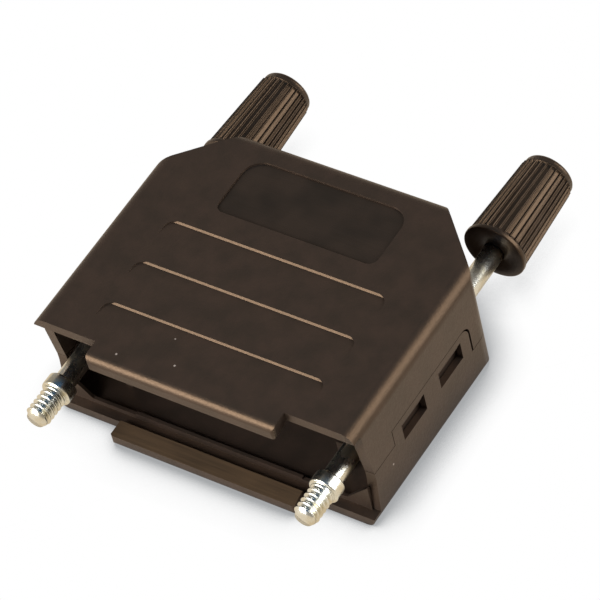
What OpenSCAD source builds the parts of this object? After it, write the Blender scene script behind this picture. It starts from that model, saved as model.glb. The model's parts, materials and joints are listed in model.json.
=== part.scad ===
// Two-part snap-together hood for a 15-way D-sub connector, straight cable exit, long captive thumbscrews.
// Frame: X across the connector, Y from the mouth (y = 0) to the cable exit, Z up from the flat underside.

/* [Connector] */
// Distance between the two screw axes of the connector
screw_pitch = 33.32; // [30:0.01:36]
// Height of the connector flange that the two tabs hold
flange_h = 12.5; // [12:0.05:13]
// Depth of the slot that takes the flange
slot_t = 1.45; // [1.2:0.05:1.6]
// Distance from the front of the hood to the back of that slot
slot_back = 1.15; // [1:0.05:1.3]

/* [Body] */
// Distance from a screw axis to the side face beside it
side_room = 3.44; // [3.1:0.02:4]
// Depth from the mouth to the back wall
body_d = 31.5; // [30:0.1:36]
// Leg of the 45 degree chamfer at each back corner
chamfer = 7.6; // [6.5:0.1:8]
// Thickness of the top and bottom walls
skin_t = 1.2; // [1:0.05:1.4]
// Thickness of the side and back walls
wall_t = 1.2; // [1:0.05:1.4]
// Rounding of the upper long edges
top_r = 1.6; // [1:0.1:2.2]
// Rounding of the lower long edges
bottom_r = 1.1; // [0.6:0.1:1.4]
// Rounding of the upright corners at the back
corner_r = 2.5; // [2.3:0.1:3.6]

/* [Mouth] */
// Width of the tab in front of the flange
tab_w = 23.6; // [20:0.1:26]
// How far the tabs stand out in front of the mouth
tab_out = 2.35; // [1.5:0.05:2.8]
// Thickness of the tabs
tab_t = 2.05; // [1.5:0.05:2.3]
// How far the tab's inner face falls away to the front
tab_fall = 0.2; // [0:0.05:0.4]
// Rounding of the tab's outer front edge
tab_r = 0.95; // [0.4:0.05:1.1]
// Rounding of the tab's two corners, seen from above
tab_corner = 0.5; // [0.2:0.05:0.8]
// Bevel along the ends of the tab's inner face
tab_bevel = 0.2; // [0.1:0.05:0.5]
// How far the side walls' front edge leans back at the seam
wall_lean = 0.65; // [0.2:0.05:0.8]
// Height of the upright stretch of that edge below the seam
wall_notch = 1.0; // [0.5:0.1:1.5]
// Height of the rib behind the slot, above the inner face
rib_h = 0.6; // [0.4:0.05:0.9]
// Thickness of that rib and of the corner webs
rib_t = 0.4; // [0.35:0.05:0.8]
// Width of a sloping corner web, inward from the side wall
web_w = 2.7; // [2:0.1:3.2]
// Extra height of the rib behind the tab
rib_step = 0.2; // [0.05:0.05:0.4]
// Width of the higher stretch of the rib
rib_high_w = 21.2; // [18:0.1:23]

// Clearance between the slot and the walls behind it
mouth_fit = 0.05; // [0.02:0.01:0.1]

/* [Joint between the shells] */
// How far the seam at the front lies below mid height
front_drop = 0.65; // [0.3:0.05:1.2]
// How far the seam behind the latch plate lies below mid height
rear_drop = 2.5; // [2.2:0.05:2.9]
// Opening of the seam line
seam_gap = 0.08; // [0.06:0.02:0.2]
// Opening behind the latch plate
plate_gap = 0.26; // [0.2:0.02:0.4]
// Rounding of the latch plate's upper back corner
plate_r = 1.3; // [0.6:0.1:1.6]
// Front edge of the latch plate
latch_front = 6.0; // [5.8:0.1:6.4]
// Distance from the plate's back edge to the start of the chamfer
latch_end = 2.6; // [2.2:0.1:3]
// How far the plate rises above mid height
latch_rise = 1.65; // [1.4:0.05:2.1]
// Thickness of the latch plate
latch_t = 0.8; // [0.6:0.05:0.9]
// Width of the plate's frame in front of and behind the windows
window_frame = 1.64; // [1.2:0.02:2]
// Width of the web between the two windows
window_gap = 2.94; // [2:0.02:3.6]
// Width of the plate's frame above the windows
window_rim = 0.9; // [0.7:0.05:1.1]
// Height of the latch windows
window_h = 2.4; // [2:0.1:2.6]
// Thickness of the tongue behind the plate
tongue_t = 0.7; // [0.6:0.05:0.8]
// How far the hooks stay below the outer face
hook_inset = 0.2; // [0.1:0.05:0.3]

// Height of a hook's outer face, above its lead-in slope
hook_face = 0.35; // [0.2:0.05:0.6]
// Clearance between the tongue, its hooks and the latch plate
latch_fit = 0.1; // [0.05:0.01:0.15]

/* [Top details] */
// Number of grip steps
grip_count = 3; // [1:1:3]
// Distance from the rearmost grip step to the label recess
grip_gap = 3.0; // [2:0.1:4]
// Distance between the grip steps
grip_pitch = 6.15; // [5:0.05:6.5]
// Length of a grip step across the hood
grip_w = 27.6; // [20:0.1:30]
// Depth of a grip step
grip_depth = 0.22; // [0.14:0.02:0.4]
// Run of the slope up the back of a step
grip_slope = 0.16; // [0.05:0.01:0.3]
// Run of the ramp in front of a step
grip_run = 2.3; // [1.5:0.1:3]
// Rounding of the ends of a grip step
grip_r = 1.2; // [0.5:0.1:1.5]
// Width of the blank label recess
label_w = 20.2; // [12:0.1:22]
// Depth of the label recess along the hood
label_l = 8.0; // [6:0.1:8.5]
// Distance from the label recess to the back
label_back = 2.9; // [2:0.1:3.2]
// Depth of the label recess
label_depth = 0.25; // [0.15:0.05:0.4]
// Rounding of the label recess's back corners
label_r = 2.4; // [1:0.1:3]
// Rounding of its front corners
label_front_r = 1.1; // [0.5:0.1:3]

/* [Thumbscrews] */
// Outside diameter of the thread (No. 4-40)
thread_d = 2.84; // [2.5:0.01:3]
// Length of the thread
thread_l = 3.85; // [3:0.05:5]
// Diameter of the collar behind the thread
collar_d = 3.5; // [3.3:0.05:3.6]
// Length of the collar
collar_l = 1.65; // [1.2:0.05:2]
// Diameter of the smooth shank
shank_d = 2.4; // [2:0.05:2.6]
// Length from the tip to the underside of the knob
reach = 39.0; // [37:0.1:41]
// Radial clearance of the shank in its guides and in the knob
shank_fit = 0.05; // [0.02:0.01:0.1]
// Gap between the hood's back and the left knob
knob_gap_left = 0.25; // [0.15:0.05:2]
// Gap between the hood's back and the right knob
knob_gap_right = 0.95; // [0.15:0.05:2]
// Where the collar stops when the screw is drawn back
stop_y = 6.0; // [5.9:0.05:6.1]
// Thickness of the wall that stops the collar
stop_t = 1.2; // [1:0.1:1.4]
// Length of each shank guide in the back
guide_l = 3.4; // [2.6:0.1:3.6]

// Room between the collar and the wall of its channel
channel_gap = 0.6; // [0.3:0.05:0.8]
// Thickness of the channel walls and guides
channel_t = 0.9; // [0.7:0.05:1.1]
// Where the channel walls begin
channel_y = 4.6; // [4:0.1:5.4]
// Bevel at the tip of the thread
tip_bevel = 0.4; // [0.2:0.05:0.6]
// Bevel at both ends of the collar
collar_bevel = 0.25; // [0.1:0.05:0.35]

/* [Knobs] */
// Diameter of the rim at the knob's underside
knob_d = 7.4; // [6.8:0.1:7.8]
// Diameter of the grip at its outer end
knob_end_d = 6.2; // [5.6:0.1:6.8]
// Length of the knob
knob_l = 12.2; // [10:0.1:14]
// Width of the smooth rim
knob_rim = 0.6; // [0.4:0.1:1]
// Length of the smooth cap
knob_cap = 0.95; // [0.6:0.05:1.2]
// Number of flutes
flute_count = 30; // [20:1:34]
// Depth of a flute
flute_depth = 0.3; // [0.15:0.05:0.4]
// Width of a flute
flute_w = 0.36; // [0.25:0.01:0.4]
// Depth of the socket for the shank
socket_l = 8.6; // [6:0.1:9]

// How far the grip starts below the rim
rim_step = 0.12; // [0.05:0.01:0.2]
// How far the cap lies below the grip's end
cap_step = 0.15; // [0.05:0.01:0.25]
// Rounding of the cap's outer edge
cap_r = 0.45; // [0.2:0.05:0.6]
// Rounding of the rim
rim_r = 0.15; // [0.05:0.01:0.25]
// Bevel at the end of the shank inside the knob
shank_bevel = 0.2; // [0.1:0.05:0.4]

/* [Cable clamp] */
// Diameter of the cable exit
exit_d = 9.2; // [8:0.1:10]
// Distance from the middle of the clamp to the back
clamp_back = 5.5; // [5.1:0.1:5.9]
// Width of the saddles along the cable
saddle_w = 5.0; // [4:0.1:5.6]
// Thickness of the saddle strip
saddle_t = 1.0; // [0.8:0.05:1.2]
// Inner radius of a saddle
saddle_r = 3.6; // [3:0.1:3.8]
// Space left between the two saddles' ears
ear_gap = 1.1; // [0.6:0.1:1.4]
// Room between a saddle's end and the channel wall
ear_room = 1.5; // [0.8:0.1:2]
// Diameter of the clamp screws
clamp_screw_d = 3.0; // [2.5:0.1:3]
// Length of a clamp screw under its head
clamp_screw_l = 7.0; // [6.4:0.1:7.4]
// Diameter of a clamp screw head
head_d = 5.5; // [5:0.1:5.6]
// Height of a clamp screw head
head_h = 1.8; // [1.4:0.1:2]
// Width of a clamp nut across its flats
nut_w = 5.5; // [5:0.1:5.6]
// Height of a clamp nut
nut_h = 2.4; // [2:0.1:2.5]
// Clearance around the nuts and the screws
clamp_fit = 0.1; // [0.05:0.01:0.15]
// Wall around a nut pocket
boss_wall = 0.7; // [0.5:0.05:0.8]
// Material of a saddle outside each clamp screw
ear_end = 2.9; // [2.5:0.1:3.4]
// Rounding of a clamp screw's head
head_bevel = 0.5; // [0.2:0.05:0.7]
// Width of the driver slot in the head
driver_w = 0.8; // [0.5:0.1:1]
// Depth of the driver slot
driver_deep = 0.9; // [0.6:0.1:1.2]
// Radial room of a clamp screw in its boss
boss_room = 0.4; // [0.2:0.1:0.6]

/* [Hidden] */
$fn = 48;
body_h = flange_h + 2 * skin_t;
mid_z = body_h / 2;
half_w = screw_pitch / 2 + side_room;
side_y = body_d - chamfer;
inner_x = half_w - wall_t;
rib_w = 2 * (inner_x - web_w);
seam_front = mid_z - front_drop;
seam_rear = mid_z - rear_drop;
latch_back = side_y - latch_end;
latch_top = mid_z + latch_rise;
window_low = latch_top - window_rim - window_h;
window_l = (latch_back - latch_front - window_gap) / 2 - window_frame;
label_y = body_d - label_back - label_l;
grip_y = label_y - grip_gap;
clamp_y = body_d - clamp_back;
screw_x = screw_pitch / 2;
slot_front = slot_back - slot_t;
wall_front = slot_back + mouth_fit;
far = 60;
sunk = 0.3;
channel_x = screw_x - collar_d / 2 - channel_gap;
channel_z = mid_z - collar_d / 2 - latch_fit;
back_step = side_y + channel_gap;
tongue_x = half_w - latch_t - latch_fit;
tongue_front = stop_y + stop_t + sunk;
window_fronts = [latch_front + window_frame, latch_back - window_frame - window_l];
ear_low = mid_z - ear_gap / 2 - saddle_t;
ear_out = channel_x - channel_t - ear_room;
clamp_x = ear_out - ear_end;
boss_d = nut_w / cos(30) + 2 * (clamp_fit + boss_wall);
boss_top = ear_low;
BLACK = [0.17, 0.15, 0.14];
STEEL = [0.80, 0.81, 0.80];
ZINC = [0.72, 0.73, 0.75];

// ---- helpers ----

function unit(v) = v / norm(v);

// Convex outline through pts, anticlockwise, with corner i rounded by r[i]; all arcs are true circles.
module soft_poly(pts, r) {
    n = len(pts);
    cut = [for (i = [0 : n - 1])
        let (a = unit(pts[(i + n - 1) % n] - pts[i]), b = unit(pts[(i + 1) % n] - pts[i]),
             half = acos(a * b) / 2)
        [pts[i] + a * r[i] / tan(half), pts[i] + b * r[i] / tan(half),
         pts[i] + unit(a + b) * r[i] / sin(half)]];
    polygon([for (c = cut) each [c[0], c[1]]]);
    for (i = [0 : n - 1]) if (r[i] > 0) translate(cut[i][2]) circle(r[i]);
}

// Plan outline of the hood, drawn in by inset; the mouth end runs on to y = from.
module plan(inset = 0, from = 0) {
    x = half_w - inset;
    y = body_d - inset;
    r = corner_r - inset;
    lean = inset * (sqrt(2) - 1);
    soft_poly([[-x, from], [x, from], [x, side_y - lean], [half_w - chamfer - lean, y],
               [-half_w + chamfer + lean, y], [-x, side_y - lean]], [0, 0, r, r, r, r]);
}

// Bar along Y with the rounded section of the hood between two upright faces at +-x.
module rounded_bar(x, low_r, high_r) {
    rotate([90, 0, 0]) translate([0, 0, -far]) linear_extrude(2 * far)
        soft_poly([[-x, 0], [x, 0], [x, body_h], [-x, body_h]], [low_r, low_r, high_r, high_r]);
}

// The closed outer form: plan outline with every long edge rounded, the chamfers and the back too.
module outer_form() {
    chamfer_x = (half_w + body_d - chamfer) / sqrt(2);
    intersection() {
        linear_extrude(body_h) plan();
        rounded_bar(half_w, bottom_r, top_r);
        for (s = [-1, 1]) rotate([0, 0, s * 45]) rounded_bar(chamfer_x, bottom_r, top_r);
        rotate([0, 0, 90]) rounded_bar(body_d, bottom_r, top_r);
    }
}

// Slab in the YZ plane, given by its outline, between x0 and x1.
module side_slab(pts, x0 = -far, x1 = far) {
    translate([x0, 0, 0]) rotate([90, 0, 90]) linear_extrude(x1 - x0) polygon(pts);
}

module at_sides() {
    for (s = [0, 1]) mirror([s, 0, 0]) children();
}

module block(lo, hi) {
    translate(lo) cube(hi - lo);
}

module along_y(d, y0, y1) {
    translate([0, y0, 0]) rotate([-90, 0, 0]) cylinder(d = d, h = y1 - y0);
}

// ---- the shells ----

// Everything below the seam, in the outer walls and inside them; g lifts the seam line and frees the
// front of the latch plate, and back frees its back edge.
module below_seam(g = 0, back = 0) {
    front = latch_front - g;
    at_sides() {
        side_slab([[-far, -far], [-far, seam_front + g], [front, seam_front + g], [front, seam_rear + g],
            [back_step - g, seam_rear + g], [back_step - g, mid_z + g], [far, mid_z + g], [far, -far]],
            inner_x, far);
        translate([inner_x, 0, 0]) rotate([90, 0, 90]) linear_extrude(far)
            soft_poly([[front, 0], [latch_back + back, 0], [latch_back + back, latch_top + g],
                       [front, latch_top + g]], [0, 0, plate_r, 0]);
    }
    block([-inner_x, -far, -far], [inner_x, far, mid_z + g]);
}

// Inside of the hood, with the mouth cut away in front of the side walls; their edge leans back to the seam.
module hollow() {
    ceiling = body_h - skin_t;
    deep = wall_front + wall_lean;
    translate([0, 0, skin_t]) linear_extrude(flange_h) plan(wall_t, -far);
    side_slab([[-far, skin_t], [wall_front + wall_lean / 4, skin_t], [deep, seam_front - wall_notch],
               [deep, seam_front], [wall_front + wall_lean / 8, ceiling - 2 * skin_t],
               [wall_front, ceiling], [-far, ceiling]]);
}

// Tab in front of the flange, drawn at the underside; its inner face falls away to the front.
module tab() {
    tip = tab_t - tab_fall;
    intersection() {
        linear_extrude(tab_t) soft_poly([[-tab_w / 2, -tab_out], [tab_w / 2, -tab_out],
            [tab_w / 2, far], [-tab_w / 2, far]], [tab_corner, tab_corner, 0, 0]);
        translate([-far, 0, 0]) rotate([90, 0, 90]) linear_extrude(2 * far)
            soft_poly([[-tab_out, 0], [slot_front, 0], [slot_front, tab_t], [-tab_out, tip]],
                      [tab_r, 0, 0, 0]);
        rotate([90, 0, 0]) translate([0, 0, -far]) linear_extrude(2 * far)
            polygon([[-tab_w / 2, 0], [tab_w / 2, 0], [tab_w / 2, tip - tab_bevel],
                     [tab_w / 2 - tab_bevel, tab_t], [-tab_w / 2 + tab_bevel, tab_t],
                     [-tab_w / 2, tip - tab_bevel]]);
    }
    block([-tab_w / 2, slot_front - mouth_fit, 0], [tab_w / 2, sunk, skin_t]);
}

// Ribs of one half, drawn at the underside: slot rib, screw channels, collar stops and shank guides.
module ribs() {
    z0 = skin_t - sunk;
    z1 = skin_t + rib_h;
    block([-rib_w / 2, slot_back, z0], [rib_w / 2, slot_back + rib_t, z1]);
    block([-rib_high_w / 2, slot_back, z0], [rib_high_w / 2, slot_back + rib_t, z1 + rib_step]);
    at_sides() {
        block([channel_x - channel_t, channel_y, z0], [channel_x, side_y, channel_z]);
        block([channel_x - channel_t, stop_y, z0], [inner_x + sunk, stop_y + stop_t, mid_z]);
        block([channel_x - channel_t, side_y - channel_t, z0],
              [screw_x + shank_d / 2 + channel_t, side_y + guide_l, mid_z]);
    }
}

// Sloping webs in the lower corners of the mouth, on which the flange's ends rest.
module corner_webs() {
    x = inner_x + sunk;
    z = skin_t + rib_h;
    at_sides() translate([0, slot_back + rib_t, 0]) rotate([90, 0, 0]) linear_extrude(rib_t)
        polygon([[rib_w / 2, skin_t - sunk], [x, skin_t - sunk], [x, z + x - rib_w / 2], [rib_w / 2, z]]);
}

// Bores that both halves share: shank guides and cable exit.
module bores() {
    at_sides() translate([screw_x, 0, mid_z]) along_y(shank_d + 2 * shank_fit, 0, far);
    translate([0, 0, mid_z]) along_y(exit_d, body_d - 2 * wall_t, far);
}

// Turns what is drawn at the underside over to the top.
module upper_half() {
    translate([0, 0, body_h]) mirror([0, 0, 1]) children();
}

module grip_steps() {
    for (i = [0 : grip_count - 1]) translate([0, grip_y - i * grip_pitch, body_h]) intersection() {
        translate([0, 0, -skin_t]) linear_extrude(2 * skin_t)
            soft_poly([[-grip_w / 2, -2 * grip_run], [grip_w / 2, -2 * grip_run], [grip_w / 2, 0],
                       [-grip_w / 2, 0]], [0, 0, grip_r, grip_r]);
        side_slab([[-grip_run, 0], [-grip_slope, -grip_depth], [0, 0], [0, skin_t], [-grip_run, skin_t]]);
    }
}

module label_recess() {
    translate([0, label_y, body_h - label_depth]) linear_extrude(skin_t)
        soft_poly([[-label_w / 2, 0], [label_w / 2, 0], [label_w / 2, label_l],
                   [-label_w / 2, label_l]], [label_front_r, label_front_r, label_r, label_r]);
}

// Tongue of the upper shell behind the latch plate, with its two hooks (drawn for x > 0).
module latch_tongue() {
    hook_x = half_w - hook_inset;
    top = window_low + window_h - latch_fit;
    inside = tongue_x - latch_fit;
    hook_l = window_l - 2 * sunk;
    block([tongue_x - tongue_t, tongue_front, seam_rear + seam_gap],
          [tongue_x, latch_back - sunk, latch_top + wall_t]);
    for (y = window_fronts) translate([0, y + sunk + hook_l, 0]) rotate([90, 0, 0])
        linear_extrude(hook_l)
            polygon([[inside, window_low + 2 * hook_inset], [hook_x, top - hook_face], [hook_x, top],
                     [inside, top]]);
}

module upper_shell() {
    color(BLACK) {
        difference() {
            union() {
                difference() {
                    outer_form();
                    hollow();
                }
                upper_half() tab();
                intersection() {
                    outer_form();
                    upper_half() ribs();
                }
            }
            below_seam(seam_gap, plate_gap);
            bores();
            grip_steps();
            label_recess();
        }
        at_sides() latch_tongue();
    }
}

module latch_windows() {
    at_sides() for (y = window_fronts)
        block([inner_x - wall_t, y, window_low], [half_w + wall_t, y + window_l, window_low + window_h]);
}

// Space behind the latch plate for the upper shell's tongue.
module tongue_room() {
    at_sides() block([tongue_x - tongue_t - latch_fit, tongue_front - latch_fit, seam_rear],
                     [half_w - latch_t, latch_back + wall_t, latch_top + wall_t]);
}

// Bosses that hold the nuts of the cable clamp.
module nut_bosses() {
    at_sides() translate([clamp_x, clamp_y, 0]) cylinder(d = boss_d, h = boss_top);
}

module nut_pockets() {
    pocket_z = boss_top - nut_h - clamp_fit;
    at_sides() translate([clamp_x, clamp_y, 0]) {
        translate([0, 0, pocket_z])
            cylinder(d = (nut_w + 2 * clamp_fit) / cos(30), h = far, $fn = 6);
        translate([0, 0, skin_t]) cylinder(d = clamp_screw_d + 2 * boss_room, h = far);
    }
}

module lower_shell() {
    color(BLACK) difference() {
        union() {
            difference() {
                outer_form();
                hollow();
            }
            tab();
            intersection() {
                outer_form();
                union() {
                    ribs();
                    corner_webs();
                    nut_bosses();
                }
            }
        }
        difference() {
            block([-far, -far, -far], [far, far, far]);
            below_seam();
        }
        tongue_room();
        bores();
        nut_pockets();
        latch_windows();
    }
}

// ---- the thumbscrews ----

function tip_y(gap) = body_d + gap - reach;

// Rod turned in one piece: threaded tip, collar and plain shank that ends in the knob.
module screw_rod(gap) {
    r = thread_d / 2;
    collar_end = thread_l + collar_l;
    rod_l = reach + socket_l;
    color(STEEL) translate([0, tip_y(gap), mid_z]) rotate([-90, 0, 0]) rotate_extrude()
        polygon([[0, 0], [r - tip_bevel, 0], [r, tip_bevel], [r, thread_l],
                 [collar_d / 2 - collar_bevel, thread_l], [collar_d / 2, thread_l + collar_bevel],
                 [collar_d / 2, collar_end - collar_bevel], [collar_d / 2 - collar_bevel, collar_end],
                 [shank_d / 2, collar_end], [shank_d / 2, rod_l - shank_bevel],
                 [shank_d / 2 - shank_bevel, rod_l], [0, rod_l]]);
}

// Disc of radius r from z0 to z1 with its two edges rounded by e0 and e1.
module soft_disc(r, z0, z1, e0, e1) {
    rotate_extrude() intersection() {
        soft_poly([[-r, z0], [r, z0], [r, z1], [-r, z1]], [e0, e0, e1, e1]);
        square([r, z1]);
    }
}

// Knob: smooth rim, tapered fluted grip and smooth rounded cap, with a blind socket for the shank.
module knob(gap) {
    base_r = knob_d / 2 - rim_step;
    end_r = knob_end_d / 2;
    grip_l = knob_l - knob_rim - knob_cap;
    lean = atan((base_r - end_r) / grip_l);
    color(BLACK) translate([0, body_d + gap, mid_z]) rotate([-90, 0, 0]) difference() {
        union() {
            soft_disc(knob_d / 2, 0, knob_rim, rim_r, rim_r);
            translate([0, 0, knob_rim / 2])
                cylinder(r1 = base_r + knob_rim / 2 * tan(lean), r2 = end_r, h = grip_l + knob_rim / 2);
            soft_disc(end_r - cap_step, knob_rim, knob_l, 0, cap_r);
        }
        for (i = [0 : flute_count - 1]) rotate([0, 0, i * 360 / flute_count])
            translate([base_r, 0, knob_rim]) rotate([0, -lean, 0])
                translate([-flute_depth, -flute_w / 2, 0]) cube([knob_d, flute_w, grip_l / cos(lean)]);
        translate([0, 0, -far]) cylinder(d = shank_d + 2 * shank_fit, h = far + socket_l + shank_fit);
    }
}

module left_screw_rod() { translate([-screw_x, 0, 0]) screw_rod(knob_gap_left); }
module right_screw_rod() { translate([screw_x, 0, 0]) screw_rod(knob_gap_right); }
module left_knob() { translate([-screw_x, 0, 0]) knob(knob_gap_left); }
module right_knob() { translate([screw_x, 0, 0]) knob(knob_gap_right); }

// ---- the cable clamp ----

module lower_saddle() {
    color(ZINC) difference() {
        union() {
            intersection() {
                translate([0, 0, ear_low + saddle_t])
                    along_y(2 * (saddle_r + saddle_t), clamp_y - saddle_w / 2, clamp_y + saddle_w / 2);
                block([-far, 0, 0], [far, far, ear_low + saddle_t]);
            }
            block([-ear_out, clamp_y - saddle_w / 2, ear_low],
                  [ear_out, clamp_y + saddle_w / 2, ear_low + saddle_t]);
        }
        translate([0, 0, ear_low + saddle_t]) along_y(2 * saddle_r, 0, far);
        at_sides() translate([clamp_x, clamp_y, 0])
            cylinder(d = clamp_screw_d + 2 * clamp_fit, h = body_h);
    }
}

module upper_saddle() {
    translate([0, 0, 2 * mid_z]) mirror([0, 0, 1]) lower_saddle();
}

module clamp_screw() {
    seat = 2 * mid_z - ear_low;
    color(ZINC) translate([clamp_x, clamp_y, seat]) difference() {
        union() {
            soft_disc(head_d / 2, 0, head_h, 0, head_bevel);
            translate([0, 0, -clamp_screw_l]) cylinder(d = clamp_screw_d, h = clamp_screw_l + sunk);
        }
        block([-head_d, -driver_w / 2, head_h - driver_deep], [head_d, driver_w / 2, 2 * head_h]);
    }
}

module clamp_nut() {
    color(ZINC) translate([clamp_x, clamp_y, boss_top - nut_h]) difference() {
        cylinder(d = nut_w / cos(30), h = nut_h, $fn = 6);
        translate([0, 0, -nut_h]) cylinder(d = clamp_screw_d + clamp_fit, h = 3 * nut_h);
    }
}

module left_clamp_screw() { mirror([1, 0, 0]) clamp_screw(); }
module right_clamp_screw() { clamp_screw(); }
module left_clamp_nut() { mirror([1, 0, 0]) clamp_nut(); }
module right_clamp_nut() { clamp_nut(); }

upper_shell();
lower_shell();
left_screw_rod();
right_screw_rod();
left_knob();
right_knob();
upper_saddle();
lower_saddle();
left_clamp_screw();
right_clamp_screw();
left_clamp_nut();
right_clamp_nut();
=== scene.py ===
"""Looks of the connector hood: moulded shells, plated thumbscrews, fluted knobs and the cable clamp."""

import json
import math

import bmesh
import bpy
from mathutils import Matrix, Vector

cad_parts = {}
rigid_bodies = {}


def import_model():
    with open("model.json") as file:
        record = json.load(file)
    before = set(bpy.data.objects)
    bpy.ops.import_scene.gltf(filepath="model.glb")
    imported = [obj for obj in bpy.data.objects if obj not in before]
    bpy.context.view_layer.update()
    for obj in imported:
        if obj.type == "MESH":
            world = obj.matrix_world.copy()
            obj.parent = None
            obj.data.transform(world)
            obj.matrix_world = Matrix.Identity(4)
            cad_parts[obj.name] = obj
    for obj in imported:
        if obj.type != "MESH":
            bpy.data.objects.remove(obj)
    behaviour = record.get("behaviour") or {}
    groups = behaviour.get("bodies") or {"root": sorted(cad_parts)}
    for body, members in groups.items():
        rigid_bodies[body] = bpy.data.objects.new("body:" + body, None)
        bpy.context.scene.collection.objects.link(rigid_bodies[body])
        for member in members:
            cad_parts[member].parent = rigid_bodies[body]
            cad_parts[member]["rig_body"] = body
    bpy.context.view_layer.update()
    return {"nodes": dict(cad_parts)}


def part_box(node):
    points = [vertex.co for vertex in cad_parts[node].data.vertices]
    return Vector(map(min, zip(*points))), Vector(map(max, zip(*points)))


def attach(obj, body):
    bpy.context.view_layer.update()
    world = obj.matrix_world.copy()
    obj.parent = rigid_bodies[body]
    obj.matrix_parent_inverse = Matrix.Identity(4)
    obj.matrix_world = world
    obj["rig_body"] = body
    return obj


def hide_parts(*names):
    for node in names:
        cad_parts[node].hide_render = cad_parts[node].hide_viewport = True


MM = 0.001

# ---- the view ----
AIM = Vector((0.788, 18.359, 7.45)) * MM
DISTANCE = 448.4 * MM
AZIMUTH, ELEVATION, ROLL = 43.25, 48.29, -15.08
LENS, SENSOR = 252.8, 36.0

# ---- sizes of the fine forms, in millimetres ----
# the 4-40 thread, its tip, the collar and the shank
THREAD_D, THREAD_L, THREAD_PITCH, THREAD_DEPTH = 2.84, 3.85, 0.635, 0.36
THREAD_FADE, THREAD_SHORT = 0.3, 0.1
TIP_BEVEL = 0.4
COLLAR_L, COLLAR_BEVEL = 1.65, 0.22
SHANK_D, SHANK_BEVEL, SHANK_ROOT = 2.4, 0.2, 0.02
# the knob: rim, fluted grip, cap and socket
KNOB_END_D = 6.2
KNOB_RIM, RIM_STEP, RIM_ROUND = 0.6, 0.12, 0.15
KNOB_CAP, CAP_STEP, CAP_ROUND = 0.95, 0.15, 0.45
LIP_START, LIP_END, LIP_DROP = 0.03, 0.04, 0.05
FLUTES, FLUTE_DEPTH, FLUTE_FADE, FLUTE_PAST = 30, 0.3, 0.1, 0.05
RIDGE_SHARE, RIDGE_FLANK = 0.1, 0.24
SOCKET, SOCKET_FIT, SOCKET_BEVEL = 8.6, 0.05, 0.1
# how finely the turned pieces are divided
ROD_SIDES, ROWS_PER_PITCH = 96, 24
SIDES_PER_FLUTE, GRIP_ROW = 20, 0.25
# the hood: eased edges, label recess, tabs and flecks
EDGE_SOFT, SHARP_ANGLE = 0.11, 30
LABEL_DEPTH, LABEL_FRONT = 0.25, 15
UPPER_TAB_FRONT, LOWER_TAB_FRONT = -0.3, -0.2
SPECK = 0.16
SPECKS_TOP = ((-8.74, -0.56, 14.9), (-4.1, 3.75, 14.9), (-2.14, 0.63, 14.9))
# a pale dot low on the right side wall
SPECK_WALL = (20.1, 5.01, 4.81)

# ---- the studio: places and sizes in millimetres, lamp powers in watts ----
CONTACT_SHADE = 5.0
BOX_SIZE = 360
LAMP_AIM = (0, 15, 5)
LEFT_BOX, LEFT_POWER = (-210, -364, 225), 5.0
RIGHT_BOX, RIGHT_POWER = (350, 235, 225), 2.4
FLOOR_SIDE = 6

# ---- colours of the finishes, sRGB ----
HOOD_BLACK = "#211c19"
HOOD_BROWN = "#29211d"
LABEL_BLACK = "#151413"
# the tabs' faces: a lighter, browner tone, painted light for the light these faces catch
TAB_LIT_BROWN = "#3d3023"
TAB_LIT_DARK = "#2e251c"
KNOB_BLACK = "#13100e"
SPECK_GREY = "#8a8078"
WARM_GLOSS = "#ffd2a6"
ZINC = "#dcded8"
ZINC_WARM = "#cfc9b4"
CLAMP_ZINC = "#b9bcc0"
FLOOR_WHITE = "#f4f4f4"
FLOOR_WARM = "#f5e4cc"
SHADE_GREY = "#a6a8aa"
ROOM_WALL = "#a39c94"
ROOM_CEILING = "#2b5a80"


def linear(hex_colour):
    """A colour written as sRGB hex, as the linear RGBA that the shaders work in."""
    parts = [int(hex_colour[i:i + 2], 16) / 255 for i in (1, 3, 5)]
    return tuple(c / 12.92 if c <= 0.04045 else ((c + 0.055) / 1.055) ** 2.4 for c in parts) + (1.0,)


def add(tree, kind, settings=None, links=None, values=None):
    """Adds a node to a tree: settings are its properties, values set its sockets, links join its sockets."""
    node = tree.nodes.new(kind)
    for name, value in (settings or {}).items():
        setattr(node, name, value)
    for name, value in (values or {}).items():
        node.inputs[name].default_value = value
    for name, source in (links or {}).items():
        tree.links.new(source, node.inputs[name])
    return node


# ---- materials ----

def new_material(name):
    material = bpy.data.materials.new(name)
    material.use_nodes = True
    material.node_tree.nodes.clear()
    return material, material.node_tree


def in_millimetres(tree):
    """Object coordinates counted in millimetres, so that a texture's scale is one over a real size."""
    place = add(tree, "ShaderNodeTexCoord").outputs["Object"]
    return add(tree, "ShaderNodeMapping", links={"Vector": place},
               values={"Scale": (1 / MM,) * 3}).outputs["Vector"]


def noise(tree, where, size_mm, detail=2.0, stretch=None):
    """Soft noise whose blotches are about size_mm across; stretch lengthens them along an axis."""
    if stretch:
        where = add(tree, "ShaderNodeMapping", links={"Vector": where},
                    values={"Scale": stretch}).outputs["Vector"]
    return add(tree, "ShaderNodeTexNoise", links={"Vector": where},
               values={"Scale": 1 / size_mm, "Detail": detail, "Roughness": 0.55}).outputs["Fac"]


def between(tree, fac, low, high, start=0.0, end=1.0):
    """A number that runs from low to high as fac runs from start to end."""
    return add(tree, "ShaderNodeMapRange", links={"Value": fac},
               values={"From Min": start, "From Max": end, "To Min": low, "To Max": high}).outputs["Result"]


def blend_colours(tree, fac, first, second):
    """The colour first where fac is 0 and second where it is 1; each is a hex colour or a socket."""
    node = add(tree, "ShaderNodeMix", {"data_type": "RGBA"}, {"Factor": fac})
    for name, colour in (("A", first), ("B", second)):
        socket = [s for s in node.inputs if s.name == name and s.type == "RGBA"][0]
        if isinstance(colour, str):
            socket.default_value = linear(colour)
        else:
            tree.links.new(colour, socket)
    return [s for s in node.outputs if s.type == "RGBA"][0]


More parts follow.
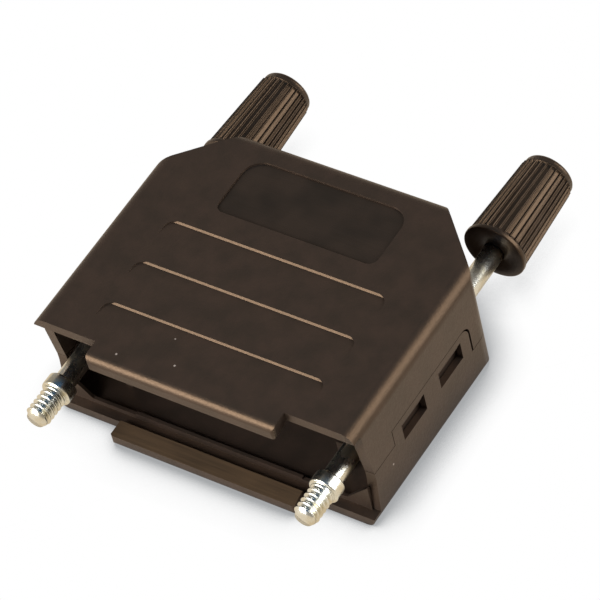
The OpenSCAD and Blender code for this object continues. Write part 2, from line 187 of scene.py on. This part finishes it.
def bump(tree, height, depth_mm, normal=None):
    links = {"Height": height}
    if normal:
        links["Normal"] = normal
    return add(tree, "ShaderNodeBump", links=links,
               values={"Strength": 1.0, "Distance": depth_mm * MM}).outputs["Normal"]


def surface(tree, links, values):
    shader = add(tree, "ShaderNodeBsdfPrincipled", links=links, values=values)
    add(tree, "ShaderNodeOutputMaterial", links={"Surface": shader.outputs["BSDF"]})


def specks(tree, where, colour, places):
    """Small pale dots on the surface, each a soft dot about a place given in millimetres."""
    for spot in places:
        off = add(tree, "ShaderNodeVectorMath", {"operation": "DISTANCE"}, {0: where}, {1: spot})
        fleck = between(tree, off.outputs["Value"], 1.0, 0.0, SPECK * 0.4, SPECK)
        colour = blend_colours(tree, fleck, colour, SPECK_GREY)
    return colour


def moulded_abs(name, dark, brown, grain_mm, grain_depth, rough, flecks=()):
    """ABS moulded in a spark-eroded tool: near black with a brown cast, satin grain and warm soft glints."""
    material, tree = new_material(name)
    where = in_millimetres(tree)
    mottle = noise(tree, where, 3.0, 3.0)
    grain = noise(tree, where, grain_mm, 3.0)
    pits = noise(tree, where, grain_mm * 2.6, 1.0)
    colour = blend_colours(tree, between(tree, mottle, 0.0, 1.0, 0.35, 0.65), dark, brown)
    colour = specks(tree, where, colour, flecks)
    height = add(tree, "ShaderNodeMath", {"operation": "ADD"}, {0: grain, 1: pits}).outputs[0]
    surface(tree, {"Base Color": colour,
                   "Roughness": between(tree, grain, rough - 0.05, rough + 0.05, 0.3, 0.7),
                   "Normal": bump(tree, height, grain_depth)},
            {"IOR": 1.53, "Specular IOR Level": 0.5, "Specular Tint": linear(WARM_GLOSS)})
    return material


def painted_light_tab_abs():
    """The tabs' inner faces: the same ABS, matt and browner, in faint lengthwise bands; the lighter, browner
    tone is painted light, the light these faces catch.
    """
    material, tree = new_material("ABS, matt tab face, painted light")
    where = in_millimetres(tree)
    bands = noise(tree, where, 0.3, 2.0, (0.04, 1.0, 1.0))
    cloud = noise(tree, where, 2.5, 2.0, (0.4, 1.0, 1.0))
    both = add(tree, "ShaderNodeMath", {"operation": "ADD"}, {0: bands, 1: cloud}).outputs[0]
    colour = blend_colours(tree, between(tree, both, 0.0, 1.0, 0.75, 1.25), TAB_LIT_DARK, TAB_LIT_BROWN)
    surface(tree, {"Base Color": colour,
                   "Roughness": between(tree, bands, 0.55, 0.7, 0.3, 0.7),
                   "Normal": bump(tree, bands, 0.01)},
            {"IOR": 1.53, "Specular IOR Level": 0.5, "Specular Tint": linear(WARM_GLOSS)})
    return material


def polished_abs():
    """The label recess: the same ABS from a polished patch, darker, with faint lengthwise marks."""
    material, tree = new_material("ABS, polished label recess")
    where = in_millimetres(tree)
    strokes = noise(tree, where, 0.35, 3.0, (0.05, 1.0, 1.0))
    mottle = noise(tree, where, 5.0, 2.0)
    colour = blend_colours(tree, between(tree, mottle, 0.0, 1.0, 0.35, 0.65), LABEL_BLACK, HOOD_BLACK)
    surface(tree, {"Base Color": colour,
                   "Roughness": between(tree, strokes, 0.24, 0.38, 0.3, 0.7),
                   "Normal": bump(tree, strokes, 0.003)},
            {"IOR": 1.53, "Specular IOR Level": 0.5, "Specular Tint": linear(WARM_GLOSS)})
    return material


def zinc_plate(name, cool, warm, rough):
    """Steel turned on a lathe and zinc plated: bright, slightly cloudy, with fine rings round the axis."""
    material, tree = new_material(name)
    where = in_millimetres(tree)
    cloud = noise(tree, where, 1.4, 2.0)
    rings = noise(tree, where, 0.1, 2.0, (0.1, 1.0, 0.1))
    grain = noise(tree, where, 0.12, 2.0)
    colour = blend_colours(tree, between(tree, cloud, 0.0, 1.0, 0.4, 0.65), cool, warm)
    height = add(tree, "ShaderNodeMath", {"operation": "ADD"}, {0: rings, 1: grain}).outputs[0]
    surface(tree, {"Base Color": colour,
                   "Roughness": between(tree, cloud, rough - 0.06, rough + 0.08, 0.3, 0.7),
                   "Normal": bump(tree, height, 0.006)},
            {"Metallic": 1.0})
    return material


# ---- the turned pieces ----

def lathe(name, outline, axis_x, axis_z, around):
    """Turns an outline of (distance along Y, radius) pairs in millimetres round a line parallel to Y."""
    mesh = bpy.data.meshes.new(name)
    shape = bmesh.new()
    rows = []
    for along, radius in outline:
        if radius == 0:
            rows.append([shape.verts.new((axis_x, along * MM, axis_z))])
            continue
        turn = [2 * math.pi * i / around for i in range(around)]
        rows.append([shape.verts.new((axis_x + radius * MM * math.cos(a), along * MM,
                                      axis_z + radius * MM * math.sin(a))) for a in turn])
    for low, high in zip(rows, rows[1:]):
        for i in range(around):
            j = (i + 1) % around
            corners = [low[i % len(low)], high[i % len(high)], high[j % len(high)], low[j % len(low)]]
            shape.faces.new(list(dict.fromkeys(corners)))
    bmesh.ops.recalc_face_normals(shape, faces=shape.faces)
    shape.to_mesh(mesh)
    shape.free()
    piece = bpy.data.objects.new(name, mesh)
    bpy.context.scene.collection.objects.link(piece)
    return piece


def arc(along, radius, size, start, end, steps=5):
    """Points of a rounded corner of the given size about (along, radius), angles in degrees."""
    turn = [math.radians(start + (end - start) * i / steps) for i in range(steps + 1)]
    return [(along + size * math.cos(a), radius + size * math.sin(a)) for a in turn]


def steps_between(low, high, step):
    count = max(1, round((high - low) / step))
    return [low + (high - low) * i / count for i in range(count + 1)]


def form_tree(name, sizes):
    """An empty geometry tree with named size inputs, and its input and output nodes."""
    tree = bpy.data.node_groups.new(name, "GeometryNodeTree")
    tree.interface.new_socket("Geometry", in_out="INPUT", socket_type="NodeSocketGeometry")
    for size in sizes:
        tree.interface.new_socket(size, in_out="INPUT", socket_type="NodeSocketFloat")
    tree.interface.new_socket("Finish", in_out="INPUT", socket_type="NodeSocketMaterial")
    tree.interface.new_socket("Geometry", in_out="OUTPUT", socket_type="NodeSocketGeometry")
    return tree, add(tree, "NodeGroupInput"), add(tree, "NodeGroupOutput")


def maths(tree, operation, *terms):
    """One arithmetic node; a term is a socket or a number."""
    node = add(tree, "ShaderNodeMath", {"operation": operation})
    for socket, term in zip(node.inputs, terms):
        if isinstance(term, (int, float)):
            socket.default_value = term
        else:
            tree.links.new(term, socket)
    return node.outputs[0]


def polar(tree, given):
    """Where a point lies about an axis parallel to Y: its turn (0 to 1), its place along Y, and its spoke."""
    place = add(tree, "GeometryNodeInputPosition").outputs[0]
    apart = add(tree, "ShaderNodeSeparateXYZ", links={0: place}).outputs
    dx = maths(tree, "SUBTRACT", apart[0], given["Axis X"])
    dz = maths(tree, "SUBTRACT", apart[2], given["Axis Z"])
    turn = maths(tree, "DIVIDE", maths(tree, "ARCTAN2", dz, dx), 2 * math.pi)
    spoke = add(tree, "ShaderNodeCombineXYZ", links={"X": dx, "Z": dz}).outputs[0]
    spoke = add(tree, "ShaderNodeVectorMath", {"operation": "NORMALIZE"}, {0: spoke}).outputs[0]
    return turn, apart[1], spoke


def window(tree, along, given):
    """1 between Start and End, falling to 0 over Fade at both."""
    rise = maths(tree, "DIVIDE", maths(tree, "SUBTRACT", along, given["Start"]), given["Fade"])
    fall = maths(tree, "DIVIDE", maths(tree, "SUBTRACT", given["End"], along), given["Fade"])
    return maths(tree, "MINIMUM", add(tree, "ShaderNodeClamp", links={0: rise}).outputs[0],
                 add(tree, "ShaderNodeClamp", links={0: fall}).outputs[0])


def sink(tree, given, result, share, spoke):
    """Moves the points inwards by Depth times share, then closes the tree with its material."""
    depth = maths(tree, "MULTIPLY", maths(tree, "MULTIPLY", share, given["Depth"]), -1.0)
    move = add(tree, "ShaderNodeVectorMath", {"operation": "SCALE"}, {"Vector": spoke, "Scale": depth})
    moved = add(tree, "GeometryNodeSetPosition",
                links={"Geometry": given["Geometry"], "Offset": move.outputs[0]}).outputs[0]
    smooth = add(tree, "GeometryNodeSetShadeSmooth", links={"Geometry": moved}).outputs[0]
    real = add(tree, "GeometryNodeRealizeInstances", links={"Geometry": smooth}).outputs[0]
    final = add(tree, "GeometryNodeSetMaterial", links={"Geometry": real, "Material": given["Finish"]})
    tree.links.new(final.outputs[0], result.inputs["Geometry"])


def thread_tree():
    """Cuts a single-start V thread with flat crests into a turned stretch."""
    tree, source, result = form_tree("V thread", ["Axis X", "Axis Z", "Start", "End", "Fade", "Depth",
                                                  "Pitch"])
    given = source.outputs
    turn, along, spoke = polar(tree, given)
    lead = maths(tree, "DIVIDE", maths(tree, "SUBTRACT", along, given["Start"]), given["Pitch"])
    phase = maths(tree, "FRACT", maths(tree, "SUBTRACT", lead, turn))
    flank = maths(tree, "ABSOLUTE", maths(tree, "SUBTRACT", maths(tree, "MULTIPLY", phase, 2.0), 1.0))
    groove = add(tree, "ShaderNodeMapRange", links={"Value": flank},
                 values={"From Min": 0.14, "From Max": 0.84}).outputs[0]
    share = maths(tree, "MULTIPLY", groove, window(tree, along, given))
    sink(tree, given, result, share, spoke)
    return tree


def flute_tree():
    """Cuts straight flutes between narrow ridges along a turned grip."""
    tree, source, result = form_tree("Grip flutes", ["Axis X", "Axis Z", "Start", "End", "Fade", "Depth",
                                                     "Count", "Ridge", "Flank"])
    given = source.outputs
    turn, along, spoke = polar(tree, given)
    phase = maths(tree, "FRACT", maths(tree, "MULTIPLY", turn, given["Count"]))
    side = maths(tree, "ABSOLUTE", maths(tree, "SUBTRACT", maths(tree, "MULTIPLY", phase, 2.0), 1.0))
    edge = maths(tree, "ADD", given["Ridge"], given["Flank"])
    groove = add(tree, "ShaderNodeMapRange", {"interpolation_type": "SMOOTHSTEP"},
                 {"Value": side, "From Min": given["Ridge"], "From Max": edge}).outputs[0]
    share = maths(tree, "MULTIPLY", groove, window(tree, along, given))
    sink(tree, given, result, share, spoke)
    return tree


def shaped(piece, tree, sizes, finish):
    """Runs a tree on a piece with these sizes, and keeps the result as a plain mesh."""
    modifier = piece.modifiers.new(tree.name, "NODES")
    modifier.node_group = tree
    for item in tree.interface.items_tree:
        if item.in_out == "INPUT" and item.name in sizes:
            modifier[item.identifier] = sizes[item.name]
        if item.in_out == "INPUT" and item.name == "Finish":
            modifier[item.identifier] = finish
    evaluated = piece.evaluated_get(bpy.context.evaluated_depsgraph_get())
    mesh = bpy.data.meshes.new_from_object(evaluated)
    piece.modifiers.remove(modifier)
    old, piece.data = piece.data, mesh
    bpy.data.meshes.remove(old)
    return piece


def thumbscrew_rod(name, node, tree, finish):
    """Rod with its thread cut: bevelled tip, thread, collar and plain shank, as long as the solid one."""
    low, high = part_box(node)
    axis = (low + high) / 2
    start, end = low.y / MM, high.y / MM
    collar_r = (high.x - low.x) / 2 / MM
    thread_r, shank_r = THREAD_D / 2, SHANK_D / 2
    thread_end = start + THREAD_L
    stop = thread_end + COLLAR_L
    row = THREAD_PITCH / ROWS_PER_PITCH
    outline = [(start, 0), (start, thread_r - TIP_BEVEL)]
    outline += [(y, thread_r) for y in steps_between(start + TIP_BEVEL, thread_end, row)]
    outline += arc(thread_end + COLLAR_BEVEL, collar_r - COLLAR_BEVEL, COLLAR_BEVEL, 180, 90)
    outline += arc(stop - COLLAR_BEVEL, collar_r - COLLAR_BEVEL, COLLAR_BEVEL, 90, 0)
    outline += [(y, shank_r) for y in (stop, stop + SHANK_ROOT, end - SHANK_BEVEL)]
    outline += [(end, shank_r - SHANK_BEVEL), (end, 0)]
    piece = lathe(name, outline, axis.x, axis.z, ROD_SIDES)
    sizes = {"Axis X": axis.x, "Axis Z": axis.z, "Start": low.y,
             "End": low.y + (THREAD_L - THREAD_SHORT) * MM, "Fade": THREAD_FADE * MM,
             "Depth": THREAD_DEPTH * MM, "Pitch": THREAD_PITCH * MM}
    return shaped(piece, tree, sizes, finish)


def fluted_knob(name, node, tree, finish):
    """Knob: smooth rim, tapered grip with flutes, rounded cap, and the blind socket for the shank."""
    low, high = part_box(node)
    axis = (low + high) / 2
    start, end = low.y / MM, high.y / MM
    rim_r = (high.x - low.x) / 2 / MM
    base_r, end_r = rim_r - RIM_STEP, KNOB_END_D / 2
    cap_r, bore_r = end_r - CAP_STEP, SHANK_D / 2 + SOCKET_FIT
    grip = (start + KNOB_RIM, end - KNOB_CAP)
    outline = [(start + SOCKET, 0), (start + SOCKET, bore_r)]
    outline += [(start + SOCKET_BEVEL, bore_r), (start, bore_r + SOCKET_BEVEL)]
    outline += arc(start + RIM_ROUND, rim_r - RIM_ROUND, RIM_ROUND, 180, 90)
    outline += arc(start + KNOB_RIM - RIM_ROUND, rim_r - RIM_ROUND, RIM_ROUND, 90, 0)
    for y in steps_between(grip[0], grip[1], GRIP_ROW):
        outline.append((y, base_r + (end_r - base_r) * (y - grip[0]) / (grip[1] - grip[0])))
    outline += [(grip[1] + LIP_START, end_r - LIP_DROP), (grip[1] + LIP_END, cap_r)]
    outline += arc(end - CAP_ROUND, cap_r - CAP_ROUND, CAP_ROUND, 90, 0) + [(end, 0)]
    piece = lathe(name, outline, axis.x, axis.z, FLUTES * SIDES_PER_FLUTE)
    sizes = {"Axis X": axis.x, "Axis Z": axis.z, "Start": grip[0] * MM,
             "End": (grip[1] + FLUTE_PAST) * MM, "Fade": FLUTE_FADE * MM, "Depth": FLUTE_DEPTH * MM,
             "Count": float(FLUTES), "Ridge": RIDGE_SHARE, "Flank": RIDGE_FLANK}
    return shaped(piece, tree, sizes, finish)


# ---- the moulded pieces ----

def softened(name, node, finishes, soft_mm, pick=None):
    """A copy of a solid with its sharp edges eased as a mould leaves them.

    pick gives the number of a face's finish from its centre and normal.
    """
    source = frame["nodes"][node]
    mesh = source.data.copy()
    shape = bmesh.new()
    shape.from_mesh(mesh)
    bmesh.ops.remove_doubles(shape, verts=shape.verts, dist=1e-7)
    bmesh.ops.dissolve_limit(shape, angle_limit=math.radians(0.5), verts=shape.verts, edges=shape.edges)
    shape.to_mesh(mesh)
    shape.free()
    mesh.materials.clear()
    for finish in finishes:
        mesh.materials.append(finish)
    for face in mesh.polygons:
        face.use_smooth = True
        face.material_index = pick(face.center, face.normal) if pick else 0
    piece = bpy.data.objects.new(name, mesh)
    bpy.context.scene.collection.objects.link(piece)
    ease = piece.modifiers.new("eased edges", "BEVEL")
    ease.width, ease.segments, ease.limit_method = soft_mm * MM, 2, "ANGLE"
    ease.angle_limit, ease.use_clamp_overlap = math.radians(SHARP_ANGLE), True
    level = piece.modifiers.new("flat faces stay flat", "WEIGHTED_NORMAL")
    level.weight, level.keep_sharp = 80, False
    return piece


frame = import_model()

hood_finish = moulded_abs("ABS, satin moulded hood", HOOD_BLACK, HOOD_BROWN, 0.2, 0.012, 0.42,
                          SPECKS_TOP + (SPECK_WALL,))
knob_finish = moulded_abs("ABS, satin moulded knob", KNOB_BLACK, HOOD_BLACK, 0.2, 0.006, 0.34)
label_finish = polished_abs()
# the tabs' faces take a lighter copy of the hood's ABS: painted light
tab_painted_light_finish = painted_light_tab_abs()
rod_finish = zinc_plate("steel, bright zinc plated rod", ZINC, ZINC_WARM, 0.26)
clamp_finish = zinc_plate("steel, zinc plated clamp", CLAMP_ZINC, ZINC_WARM, 0.34)

hood_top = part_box("upper_shell")[1].z
label_floor = hood_top - LABEL_DEPTH * MM


def hood_or_label(centre, normal):
    """The label's floor is the second finish, the tab's inner face the third, with its painted light."""
    if normal.z > 0.99 and abs(centre.z - label_floor) < 0.02 * MM and centre.y > LABEL_FRONT * MM:
        return 1
    return 2 if normal.z < -0.9 and centre.y < UPPER_TAB_FRONT * MM else 0


def hood_or_tab(centre, normal):
    """The lower tab's upper face is the second finish, with its painted light."""
    return 1 if normal.z > 0.9 and centre.y < LOWER_TAB_FRONT * MM else 0


def place(piece, node, slot):
    """The piece stands for a solid: it rides on that solid's body; slot is not used."""
    body = frame["nodes"][node]["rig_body"]
    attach(piece, body)
    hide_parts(node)


place(softened("hood_upper", "upper_shell", [hood_finish, label_finish, tab_painted_light_finish], EDGE_SOFT,
               hood_or_label), "upper_shell", "hood_plastic")
place(softened("hood_lower", "lower_shell", [hood_finish, tab_painted_light_finish], EDGE_SOFT, hood_or_tab),
      "lower_shell", "hood_plastic")

threads, flutes = thread_tree(), flute_tree()
for side in ("left", "right"):
    place(thumbscrew_rod(f"{side}_rod", f"{side}_screw_rod", threads, rod_finish),
          f"{side}_screw_rod", "plated_steel")
    place(fluted_knob(f"{side}_grip", f"{side}_knob", flutes, knob_finish), f"{side}_knob", "knob_plastic")

for node in ("upper_saddle", "lower_saddle", "left_clamp_screw", "right_clamp_screw",
             "left_clamp_nut", "right_clamp_nut"):
    mesh = frame["nodes"][node].data
    mesh.materials.clear()
    mesh.materials.append(clamp_finish)


# ---- floor, light and camera ----

def white_floor():
    """A pale paper floor, seen and mirrored as white, with a painted contact shadow in grey only where the
    part stands close over it.
    """
    material, tree = new_material("white paper floor")
    paper = add(tree, "ShaderNodeBsdfDiffuse", values={"Color": linear(FLOOR_WHITE)}).outputs[0]
    open_sky = add(tree, "ShaderNodeAmbientOcclusion", {"samples": 8},
                   values={"Distance": CONTACT_SHADE * MM}).outputs["AO"]
    # painted shadow: the floor turns grey as the part closes off the open sky above it
    lit = between(tree, open_sky, 0.0, 1.0, 0.5, 0.93)
    seen = add(tree, "ShaderNodeLightPath").outputs
    white = blend_colours(tree, seen["Is Camera Ray"], FLOOR_WARM, "#ffffff")
    shade = blend_colours(tree, lit, SHADE_GREY, white)
    bright = add(tree, "ShaderNodeEmission", links={"Color": shade}).outputs[0]
    ray = seen["Is Camera Ray"]
    for other in ("Is Glossy Ray", "Is Transmission Ray"):
        ray = maths(tree, "MAXIMUM", ray, seen[other])
    mixed = add(tree, "ShaderNodeMixShader", links={"Fac": ray, 1: paper, 2: bright}).outputs[0]
    add(tree, "ShaderNodeOutputMaterial", links={"Surface": mixed})
    bpy.ops.mesh.primitive_plane_add(size=FLOOR_SIDE, location=(0, 0, 0))
    floor = bpy.context.object
    floor.name = "floor"
    floor.data.materials.append(material)


def soft_lamp(name, place_mm, aim_mm, size_mm, power, colour="#ffffff"):
    """A square soft lamp at a place, turned to its aim."""
    lamp = bpy.data.lights.new(name, "AREA")
    lamp.shape, lamp.size, lamp.energy = "SQUARE", size_mm * MM, power
    lamp.color = linear(colour)[:3]
    box = bpy.data.objects.new(name, lamp)
    box.location = Vector(place_mm) * MM
    box.rotation_euler = (Vector(aim_mm) - Vector(place_mm)).to_track_quat("-Z", "Y").to_euler()
    bpy.context.scene.collection.objects.link(box)


def room_light():
    """Room light: pale near the horizon, a dark blue ceiling, white where the camera looks past the floor."""
    world = bpy.data.worlds.new("studio room")
    bpy.context.scene.world = world
    world.use_nodes = True
    tree = world.node_tree
    tree.nodes.clear()
    way = add(tree, "ShaderNodeTexCoord").outputs["Generated"]
    rise = add(tree, "ShaderNodeSeparateXYZ", links={0: way}).outputs[2]
    colour = blend_colours(tree, between(tree, rise, 0.0, 1.0, 0.72, 0.86), ROOM_WALL, ROOM_CEILING)
    seen = add(tree, "ShaderNodeLightPath").outputs["Is Camera Ray"]
    colour = blend_colours(tree, seen, colour, "#ffffff")
    light = add(tree, "ShaderNodeBackground", links={"Color": colour})
    add(tree, "ShaderNodeOutputWorld", links={"Surface": light.outputs[0]})


def camera():
    """Camera at the height, side and tilt of the view, far off with a long lens."""
    a, e = math.radians(AZIMUTH), math.radians(ELEVATION)
    back = Vector((math.sin(a) * math.cos(e), -math.cos(a) * math.cos(e), math.sin(e)))
    right = Vector((math.cos(a), math.sin(a), 0))
    turn = Matrix((right, back.cross(right), back)).transposed()
    lens = bpy.data.cameras.new("camera")
    lens.lens, lens.sensor_width = LENS, SENSOR
    lens.clip_start, lens.clip_end = 0.01, 20
    eye = bpy.data.objects.new("camera", lens)
    turned = turn @ Matrix.Rotation(math.radians(ROLL), 3, "Z")
    eye.matrix_world = Matrix.Translation(AIM + back * DISTANCE) @ turned.to_4x4()
    bpy.context.scene.collection.objects.link(eye)
    bpy.context.scene.camera = eye


white_floor()
room_light()
for name, place_mm, power in (("left box", LEFT_BOX, LEFT_POWER), ("right box", RIGHT_BOX, RIGHT_POWER)):
    soft_lamp(name, place_mm, LAMP_AIM, BOX_SIZE, power)
camera()
bpy.context.scene.view_settings.view_transform = "Standard"
